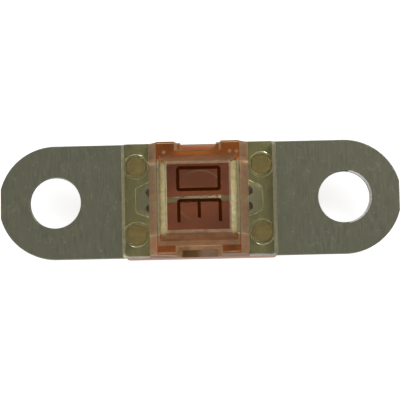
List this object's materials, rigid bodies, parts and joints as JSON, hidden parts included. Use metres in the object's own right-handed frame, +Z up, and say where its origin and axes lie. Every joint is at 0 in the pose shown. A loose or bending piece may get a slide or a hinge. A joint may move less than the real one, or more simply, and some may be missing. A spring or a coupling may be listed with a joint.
{
  "type": "bolt-down strip fuse",
  "caption": "Bolt-down strip fuse: a stamped metal strip with a round-ended bolt tab at each end, a clear cover and an orange base.",
  "frame": {"origin": "middle of the base's bottom face", "axes": "+X along the strip from one bolt hole to the other, +Z up through the clear window, +Y across the strip"},
  "size_m": [0.0414, 0.012, 0.008],
  "materials": {
    "stamped_metal": "satin",
    "clear_plastic": "gloss",
    "orange_plastic": "satin"
  },
  "bodies": {
    "root": {"fuse_strip": "stamped_metal", "cover": "clear_plastic", "base": "orange_plastic"}
  },
  "joints": []
}
